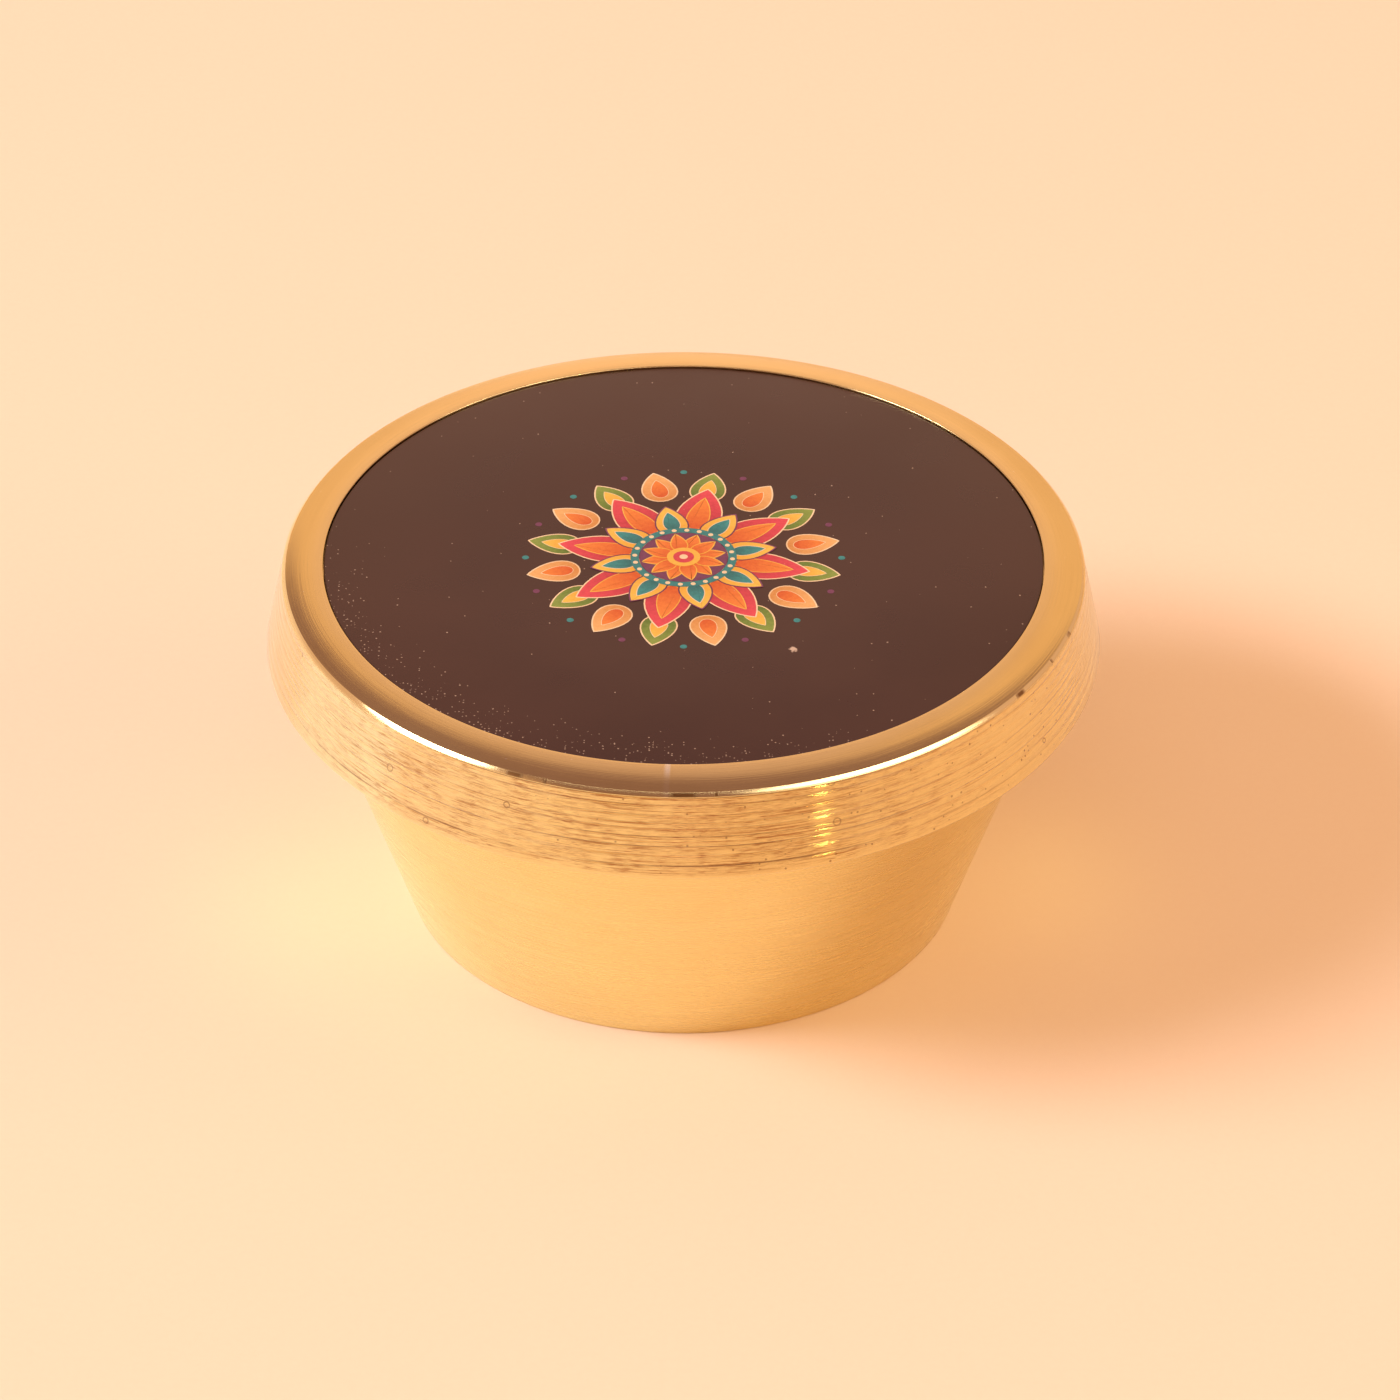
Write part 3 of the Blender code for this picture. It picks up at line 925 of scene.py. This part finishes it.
# %% Lid
GROOVE_ANGLE = 18.0

lid_shape = spin_section(lid_section, LARGE_STEPS, stains=lid_stains, bands=lid_bands)
on_band = lid_shape.verts.layers.float["band"]
for face in lid_shape.faces:
    face.material_index = round(min(vert[on_band] for vert in face.verts))
finish_piece("turned_lid", lid_shape, "lid", "lid", [ring_brass(), band_brass()], GROOVE_ANGLE)

# %% [markdown]
# ## Printed disc
# The disc is a thin dark brown sheet with a satin face, cut to drop into the recess. It shows dust more
# than any other part, most of all along one side of its rim, where a cloth didn't reach, and one curl of
# lint lies on it. Its colour drifts a little, as a printed solid does.

# %% Dust
DISC_SIDE_GAP = 0.00010
DUST_GREY = colour(0.60, 0.47, 0.36)
DUSTY_SIDE = Vector((-0.55, -0.83, 0.0))
DUST_COVER = 0.55
CLUMP_SCALE = 420.0
CLUMP_SPREAD = (0.42, 0.66)
LINT_PLACE = Vector((0.0153, -0.0233, 0.0))
LINT_REACH = (0.0011, 0.0014)
LINT_CURL = 0.0016
CURL_SCALE = 1600.0
disc_radius = recess_radius - DISC_SIDE_GAP
dusty_rim = (disc_radius * 0.84, disc_radius * 0.97)
dusty_turn = (disc_radius * 0.35, disc_radius * 0.80)


def dust(tree, place):
    """A mask of the dust along one side of the rim, a few stray specks and the curl of lint."""
    flat = vector_math(tree, "MULTIPLY", place, FLATTEN)
    near_rim = spread(tree, vector_math(tree, "DISTANCE", flat, Vector()), *dusty_rim, 0.0, DUST_COVER)
    on_side = spread(tree, vector_math(tree, "DOT_PRODUCT", flat, DUSTY_SIDE), *dusty_turn)
    clumps = spread(tree, noise(tree, place, CLUMP_SCALE, detail=4.0, roughness=0.7), *CLUMP_SPREAD)
    clumped = product(tree, near_rim, on_side, clumps)
    many = place_group(tree, specks, Place=place, Scale=1900.0, Cover=clumped, Size=0.24)
    few = place_group(tree, specks, Place=place, Scale=420.0, Cover=0.09, Size=0.050)
    curl = product(tree, noise(tree, place, CURL_SCALE), LINT_CURL)
    off_lint = calculate(tree, "ADD", vector_math(tree, "DISTANCE", flat, LINT_PLACE), curl)
    lint = falling(tree, off_lint, *LINT_REACH)
    return weigh(tree, (few, 0.7), (many, 0.6), (lint, 1.0))


print("dust starts", round(dusty_rim[0], 4), "m from the middle")

# %% Disc
DISC_BROWN = colour(0.042, 0.0128, 0.0098)
DISC_LIGHTER = colour(0.054, 0.0185, 0.0140)
DRIFT_SCALE = 45.0
DRIFT_SPREAD = (0.35, 0.70)
DISC_ROUGHNESS = 0.26
DISC_EDGE = 0.0002
PEEL_SCALE = 1800.0
PEEL_DEPTH = 0.000004
PEEL_STRENGTH = 0.6
SATIN_SCALE = 90.0
SATIN_SPREAD = (0.3, 0.7)
SATIN_RANGE = 0.08


def printed_face(tree, shader, base, roughness):
    """The satin face that the disc and its inks share: fine orange peel and a few specks of dust."""
    place = object_place(tree)
    feed(tree, shader.inputs["Base Color"], mix_colours(tree, dust(tree, place), base, DUST_GREY))
    satin = noise(tree, place, SATIN_SCALE, detail=3.0)
    rough = spread(tree, satin, *SATIN_SPREAD, roughness, roughness + SATIN_RANGE)
    feed(tree, shader.inputs["Roughness"], rough)
    ripple(tree, shader, noise(tree, place, PEEL_SCALE), PEEL_DEPTH, PEEL_STRENGTH)


def disc_material():
    material, tree, shader = new_material("disc_satin_brown")
    drift = spread(tree, noise(tree, object_place(tree), DRIFT_SCALE, detail=4.0), *DRIFT_SPREAD)
    printed_face(tree, shader, mix_colours(tree, drift, DISC_BROWN, DISC_LIGHTER), DISC_ROUGHNESS)
    return material


disc_section = rounded([
    (0.0, disc_high.z, 0.0),
    (disc_radius / 2, disc_high.z, 0.0),
    (disc_radius, disc_high.z, DISC_EDGE),
    (disc_radius, disc_low.z, 0.0),
    (0.0, disc_low.z, 0.0),
])
disc_shape = spin_section(disc_section, LARGE_STEPS)
finish_piece("dark_disc", disc_shape, "lid", "lid_disc", [disc_material()])

# %% [markdown]
# ## Flower medallion
# The print in the middle of the disc is a flower medallion, the kind that is drawn at doorsteps: rings
# of petals about one centre. An image could carry it, but cut petals stay crisp at any distance. Each
# petal is a circle pulled to a point, inset once for its outline, and given the thickness of ink. The
# rings overlap like shingles, so every ring lies one film of ink above the ring outside it.

# %% Inks
INK_FILM = 0.000015
INK_ROUGHNESS = 0.40
INK_MOTTLE_SCALE = 1500.0
INK_MOTTLE_SPREAD = (0.3, 0.7, -0.18, 0.18)
INKS = {
    "cream": ((0.80, 0.60, 0.36), (0.88, 0.72, 0.48)),
    "ochre": ((0.62, 0.27, 0.07), (0.84, 0.49, 0.19)),
    "rose": ((0.40, 0.022, 0.045), (0.74, 0.075, 0.11)),
    "orange": ((0.62, 0.10, 0.02), (0.84, 0.27, 0.05)),
    "yellow": ((0.74, 0.36, 0.04), (0.86, 0.58, 0.10)),
    "teal": ((0.012, 0.13, 0.14), (0.045, 0.33, 0.34)),
    "green": ((0.08, 0.16, 0.02), (0.26, 0.36, 0.07)),
    "purple": ((0.085, 0.018, 0.055), (0.22, 0.06, 0.15)),
}
ink_number = {name: index for index, name in enumerate(INKS)}


def ink_material(name, deep, light):
    """An ink that runs from deep at a petal's root to light at its tip, with the mottle of a print."""
    material, tree, shader = new_material("ink_" + name)
    mottle = noise(tree, object_place(tree), INK_MOTTLE_SCALE, detail=3.0, roughness=0.7)
    tone = calculate(tree, "ADD", mark(tree, "petal"), spread(tree, mottle, *INK_MOTTLE_SPREAD))
    printed_face(tree, shader, mix_colours(tree, tone, colour(*deep), colour(*light)), INK_ROUGHNESS)
    return material


ink_materials = [ink_material(name, *tones) for name, tones in INKS.items()]
print("inks", ", ".join(INKS))

# %% Petals, beads and rings
PETAL_POINTS = 28
PETAL_FULLNESS = 0.66
PETAL_TAPER = 0.38
PETAL_LINE = 0.00022
BEAD_POINTS = 20
BEAD_TONE = 0.6
RING_POINTS = 96
RING_TONE = 0.5


def lay_down(shape, faces, level):
    """Give flat faces the thickness of one film of ink and lift them to their level."""
    solid = bmesh.ops.extrude_face_region(shape, geom=faces, use_keep_orig=True)["geom"]
    top = [item for item in solid if isinstance(item, bmesh.types.BMVert)]
    bmesh.ops.translate(shape, verts=top, vec=(0.0, 0.0, INK_FILM))
    bottom = {vert for face in faces for vert in face.verts}
    bmesh.ops.translate(shape, verts=list(bottom) + top, vec=(0.0, 0.0, disc_high.z + INK_FILM * level))


def petal(shape, size, angle, level, ink, outline="cream", line=PETAL_LINE):
    """A petal of a size (root, tip, width), pointing outwards at an angle."""
    root, tip, width = size
    tone = shape.verts.layers.float["petal"]
    verts = bmesh.ops.create_circle(shape, cap_ends=True, segments=PETAL_POINTS, radius=1.0)["verts"]
    turn = Matrix.Rotation(angle, 4, "Z")
    face = verts[0].link_faces[0]
    for vert in verts:
        share = (1.0 + vert.co.x) / 2
        half = PETAL_FULLNESS * width * vert.co.y * (1.0 - share) ** PETAL_TAPER
        vert.co = turn @ Vector((root + (tip - root) * share, half, 0.0))
    rim = bmesh.ops.inset_region(shape, faces=[face], thickness=line, use_boundary=True)["faces"]
    face.material_index = ink_number[ink]
    for side in rim:
        side.material_index = ink_number[outline]
    faces = [face] + rim
    for vert in {vert for part in faces for vert in part.verts}:
        vert[tone] = (vert.co.length - root) / (tip - root)
    lay_down(shape, faces, level)


def bead(shape, radius, level, ink, distance=0.0, angle=0.0):
    tone = shape.verts.layers.float["petal"]
    where = Matrix.Translation((distance * cos(angle), distance * sin(angle), 0.0))
    made = bmesh.ops.create_circle(shape, cap_ends=True, segments=BEAD_POINTS, radius=radius, matrix=where)
    face = made["verts"][0].link_faces[0]
    face.material_index = ink_number[ink]
    for vert in made["verts"]:
        vert[tone] = BEAD_TONE
    lay_down(shape, [face], level)


def ring(shape, outer, inner, level, ink):
    tone = shape.verts.layers.float["petal"]
    verts = bmesh.ops.create_circle(shape, cap_ends=True, segments=RING_POINTS, radius=outer)["verts"]
    face = verts[0].link_faces[0]
    inset = bmesh.ops.inset_region(shape, faces=[face], thickness=outer - inner, use_boundary=True)
    sides = inset["faces"]
    bmesh.ops.delete(shape, geom=[face], context="FACES_ONLY")
    for side in sides:
        side.material_index = ink_number[ink]
        for vert in side.verts:
            vert[tone] = RING_TONE
    lay_down(shape, sides, level)


print("a petal has", PETAL_POINTS, "points, a bead", BEAD_POINTS, "and a ring", RING_POINTS)

# %% Medallion
MEDALLION_TURN = radians(11.25)
LEAF_COUNT = 16
LEAF = (0.0150, 0.0228, 0.0050)
LEAF_HEART = (0.0160, 0.0208, 0.0024)
LEAF_HEART_LINE = 0.00010
DOT_RADIUS = 0.00050
DOT_DISTANCE = 0.0226
PETAL_COUNT = 8
LARGE_PETAL = (0.0070, 0.0184, 0.0064)
LARGE_HEART = (0.0074, 0.0160, 0.0032)
LARGE_HEART_LINE = 0.00014
STAR_PETAL = (0.0058, 0.0136, 0.0046)
STAR_HEART = (0.0070, 0.0120, 0.0024)
STAR_HEART_LINE = 0.00012
COLLAR_OUTER = 0.0076
COLLAR_INNER = 0.0064
PEARL_COUNT = 24
PEARL_RADIUS = 0.00036
PEARL_DISTANCE = 0.0070
INNER_COUNT = 12
INNER_PETAL = (0.0016, 0.0061, 0.0024)
INNER_PETAL_LINE = 0.00016
EYE_BEADS = ((0.0024, 9, "yellow"), (0.0015, 10, "rose"), (0.0006, 11, "cream"))


def around(count, first=0.0):
    return [MEDALLION_TURN + first + 2 * pi * index / count for index in range(count)]


medallion = bmesh.new()
medallion.verts.layers.float.new("petal")
for index, angle in enumerate(around(LEAF_COUNT)):
    odd = index % 2
    petal(medallion, LEAF, angle, 0, "green" if odd else "ochre")
    petal(medallion, LEAF_HEART, angle, 1, "yellow" if odd else "orange", line=LEAF_HEART_LINE)
    bead(medallion, DOT_RADIUS, 0, "teal" if odd else "purple", DOT_DISTANCE, angle + pi / LEAF_COUNT)
for angle in around(PETAL_COUNT, pi / PETAL_COUNT):
    petal(medallion, LARGE_PETAL, angle, 2, "rose")
    petal(medallion, LARGE_HEART, angle, 3, "orange", "yellow", LARGE_HEART_LINE)
for angle in around(PETAL_COUNT):
    petal(medallion, STAR_PETAL, angle, 4, "yellow", "purple")
    petal(medallion, STAR_HEART, angle, 5, "teal", "cream", STAR_HEART_LINE)
ring(medallion, COLLAR_OUTER, COLLAR_INNER, 6, "teal")
for angle in around(PEARL_COUNT):
    bead(medallion, PEARL_RADIUS, 7, "cream", PEARL_DISTANCE, angle)
bead(medallion, COLLAR_INNER, 6, "purple")
for index, angle in enumerate(around(INNER_COUNT)):
    petal(medallion, INNER_PETAL, angle, 7 + index % 2, "orange", "yellow", INNER_PETAL_LINE)
for radius, level, ink in EYE_BEADS:
    bead(medallion, radius, level, ink)
bmesh.ops.recalc_face_normals(medallion, faces=medallion.faces)
finish_piece("flower_medallion", medallion, "lid", None, ink_materials)

# %% [markdown]
# ## Cups
# Seven spun cups stand in the bowl, one in the middle and six round it. They are thin, so their rims are
# rolled outwards to stiffen them. One section serves all seven. Its sizes come from the cups' own boxes
# in the measured model.

# %% Cups
CUP_BASE_RADIUS = 0.0078
CUP_WALL = 0.0010
CUP_FLOOR = 0.0012
CUP_FILLET = 0.0020
CUP_ROLL = 0.0008
CUP_ROLL_ROUNDNESS = 0.9
CUP_STEPS = 96
CUP_NAMES = ["cup_centre"] + [f"cup_{number}" for number in range(1, 7)]


def cup_section(low, high):
    roll = (CUP_WALL + CUP_ROLL) / 2
    rim_radius = (high.x - low.x) / 2
    outer_radius = rim_radius - CUP_ROLL
    inner_radius = outer_radius - CUP_WALL
    lean = (outer_radius - CUP_BASE_RADIUS) / (high.z - low.z)
    under_roll = high.z - 2 * roll
    return rounded([
        (0.0, low.z + CUP_FLOOR, 0.0),
        (CUP_BASE_RADIUS - CUP_WALL + CUP_FLOOR * lean, low.z + CUP_FLOOR, CUP_FILLET),
        (inner_radius, high.z, roll * CUP_ROLL_ROUNDNESS),
        (rim_radius, high.z, roll * CUP_ROLL_ROUNDNESS),
        (rim_radius, under_roll, 0.0),
        (outer_radius - 2 * roll * lean, under_roll, 0.0),
        (CUP_BASE_RADIUS, low.z, CUP_FILLET),
        (0.0, low.z, 0.0),
    ])


for name in CUP_NAMES:
    low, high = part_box(name)
    middle = (low + high) / 2
    cup_shape = spin_section(cup_section(low, high), CUP_STEPS, (middle.x, middle.y))
    finish_piece("spun_" + name, cup_shape, name, name, [cup_brass])

# %% [markdown]
# ## Spoon
# A small deep spoon lies across the cups, its bowl hanging in one of them. It is pressed from sheet, so
# it is modelled as one sheet: the bowl is spun, the handle is drawn out of its rim edge by edge, and a
# Solidify and a Subdivision Surface give it a rounded thickness.

# %% Spoon bowl
SPOON_DEPTH = 0.0070
SPOON_WALL = 0.0011
SPOON_STEPS = 48
HOLLOW_RINGS = 8

spoon_low, spoon_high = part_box("spoon")
spoon_rim_radius = (spoon_high.y - spoon_low.y) / 2
spoon_middle = Vector((spoon_low.x + spoon_rim_radius, 0.0, spoon_high.z))


def spoon_sheet():
    """The upper face of the spoon's bowl: a hollow of one radius and a narrow flat rim."""
    inner_rim = spoon_rim_radius - SPOON_WALL
    hollow = (inner_rim ** 2 + SPOON_DEPTH ** 2) / (2 * SPOON_DEPTH)
    widest = atan2(inner_rim, hollow - SPOON_DEPTH)
    shape = bmesh.new()
    points = []
    for step in range(HOLLOW_RINGS + 1):
        angle = widest * step / HOLLOW_RINGS
        points.append(shape.verts.new((hollow * sin(angle), 0.0, hollow - SPOON_DEPTH - hollow * cos(angle))))
    points.append(shape.verts.new((spoon_rim_radius, 0.0, 0.0)))
    spin_round(shape, points, SPOON_STEPS)
    return shape


spoon_shape = spoon_sheet()
print("spoon rim radius", round(spoon_rim_radius, 5), "at", [round(value, 4) for value in spoon_middle])

# %% Spoon handle
HANDLE_NECK_WIDTH = 0.0044
HANDLE_END_WIDTH = 0.0076
HANDLE_LEAD = 0.0015
HANDLE_STATIONS = 12
STATION_CROWDING = 1.5
END_BLUNTNESS = 0.25
NECK_EDGES = 4
NECK_MARGIN = 0.01


def draw_handle(shape, reach):
    """Pull the rim's edges at +X out into a handle that widens to a round end."""
    neck_angle = pi * NECK_EDGES / SPOON_STEPS + NECK_MARGIN
    edges = [
        edge for edge in shape.edges
        if edge.is_boundary and all(abs(atan2(vert.co.y, vert.co.x)) < neck_angle for vert in edge.verts)
    ]
    start = max(vert.co.x for edge in edges for vert in edge.verts) + HANDLE_LEAD
    half_end = HANDLE_END_WIDTH / 2
    widest = max(vert.co.y for edge in edges for vert in edge.verts)
    made = []
    for station in range(HANDLE_STATIONS + 1):
        share = station / HANDLE_STATIONS
        place = start + (reach - start) * (1.0 - (1.0 - share) ** STATION_CROWDING)
        half = (HANDLE_NECK_WIDTH + (HANDLE_END_WIDTH - HANDLE_NECK_WIDTH) * share) / 2
        past = place - (reach - half_end)
        if past > 0.0:
            half = max(sqrt(max(half_end ** 2 - past ** 2, 0.0)), half_end * END_BLUNTNESS)
        grown = bmesh.ops.extrude_edge_only(shape, edges=edges)["geom"]
        fresh = [item for item in grown if isinstance(item, bmesh.types.BMVert)]
        for vert in fresh:
            vert.co = Vector((place, vert.co.y / widest * half, 0.0))
        widest = half
        made += fresh
        edges = [
            item for item in grown
            if isinstance(item, bmesh.types.BMEdge) and all(vert in fresh for vert in item.verts)
        ]
    return made


handle_points = draw_handle(spoon_shape, spoon_high.x - spoon_middle.x)
print("handle points", len(handle_points))

# %% Spoon
HANDLE_THICKNESS = 0.0018
BRUSH_STRETCH = 20.0
SPOON_SHARP_ANGLE = 60.0
SPOON_SMOOTHING = 2

bmesh.ops.recalc_face_normals(spoon_shape, faces=spoon_shape.faces)
handle_end = max(spoon_shape.faces, key=lambda face: face.calc_center_median().x)
if handle_end.normal.z < 0:
    bmesh.ops.reverse_faces(spoon_shape, faces=spoon_shape.faces)
spoon_shape.verts.index_update()
handle_numbers = [vert.index for vert in handle_points]
lathe = spoon_shape.verts.layers.float_vector.new("lathe")
for vert in spoon_shape.verts:
    vert[lathe] = Vector((vert.co.x * BRUSH_STRETCH, 0.0, vert.co.y))
bmesh.ops.translate(spoon_shape, verts=spoon_shape.verts, vec=spoon_middle)
spoon_brass = turned_brass(
    "spoon_brushed_brass", across=5000.0, ring_depth=0.000003,
    smoothest=0.20, roughest=0.28, anisotropy=0.0,
)
spoon = finish_piece(
    "pressed_spoon", spoon_shape, "spoon", "spoon", [spoon_brass], SPOON_SHARP_ANGLE,
)
handle = spoon.vertex_groups.new(name="handle")
handle.add(range(len(spoon.data.vertices)), SPOON_WALL / HANDLE_THICKNESS, "REPLACE")
handle.add(handle_numbers, 1.0, "REPLACE")
wall = spoon.modifiers.new("wall", "SOLIDIFY")
wall.thickness = HANDLE_THICKNESS
wall.offset = -1.0
wall.vertex_group = handle.name
smooth = spoon.modifiers.new("round", "SUBSURF")
smooth.levels = SPOON_SMOOTHING
smooth.render_levels = SPOON_SMOOTHING
